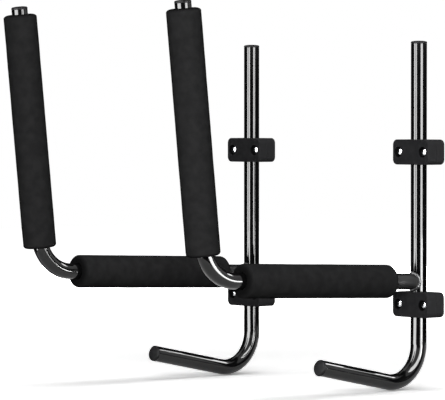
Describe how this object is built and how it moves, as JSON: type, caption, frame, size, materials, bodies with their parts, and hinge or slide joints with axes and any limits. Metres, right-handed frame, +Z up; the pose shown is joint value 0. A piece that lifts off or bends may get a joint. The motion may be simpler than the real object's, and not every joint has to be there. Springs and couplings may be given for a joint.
{
  "type": "kayak wall rack",
  "caption": "Pair of padded, upturned support arms on upright tubes that swing in wall-mounted bearing blocks, each tube bent into a paddle hook below.",
  "frame": {"origin": "on the wall plane, midway between the two hangers and midway between the upper and lower bearing blocks", "axes": "+Z up, +Y into the wall, the arms reach out along -Y, +X to the right seen from the front"},
  "size_m": [0.4874, 0.5286, 0.6065],
  "materials": {
    "tube": "gloss",
    "weld": "satin",
    "foam": "matte",
    "cap": "satin",
    "block": "satin",
    "screw": "zinc plated"
  },
  "bodies": {
    "wall_blocks": {"left_lower_block_front": "block", "left_lower_block_back": "block", "left_lower_block_screw_near": "screw", "left_lower_block_screw_far": "screw", "left_upper_block_front": "block", "left_upper_block_back": "block", "left_upper_block_screw_near": "screw", "left_upper_block_screw_far": "screw", "right_lower_block_front": "block", "right_lower_block_back": "block", "right_lower_block_screw_near": "screw", "right_lower_block_screw_far": "screw", "right_upper_block_front": "block", "right_upper_block_back": "block", "right_upper_block_screw_near": "screw", "right_upper_block_screw_far": "screw"},
    "left_hanger": {"left_upright_tube": "tube", "left_arm_tube": "tube", "left_arm_weld": "weld", "left_arm_foam": "foam", "left_prong_foam": "foam", "left_upright_cap": "cap", "left_prong_cap": "cap", "left_hook_cap": "cap"},
    "right_hanger": {"right_upright_tube": "tube", "right_arm_tube": "tube", "right_arm_weld": "weld", "right_arm_foam": "foam", "right_prong_foam": "foam", "right_upright_cap": "cap", "right_prong_cap": "cap", "right_hook_cap": "cap"}
  },
  "joints": [
    {"name": "left_swing", "type": "hinge", "parent": "wall_blocks", "child": "left_hanger", "pos_m": [-0.2032, -0.018, 0], "axis": [0, 0, 1], "range_deg": [-82, 20]},
    {"name": "right_swing", "type": "hinge", "parent": "wall_blocks", "child": "right_hanger", "pos_m": [0.2032, -0.018, 0], "axis": [0, 0, 1], "range_deg": [-20, 82]}
  ]
}
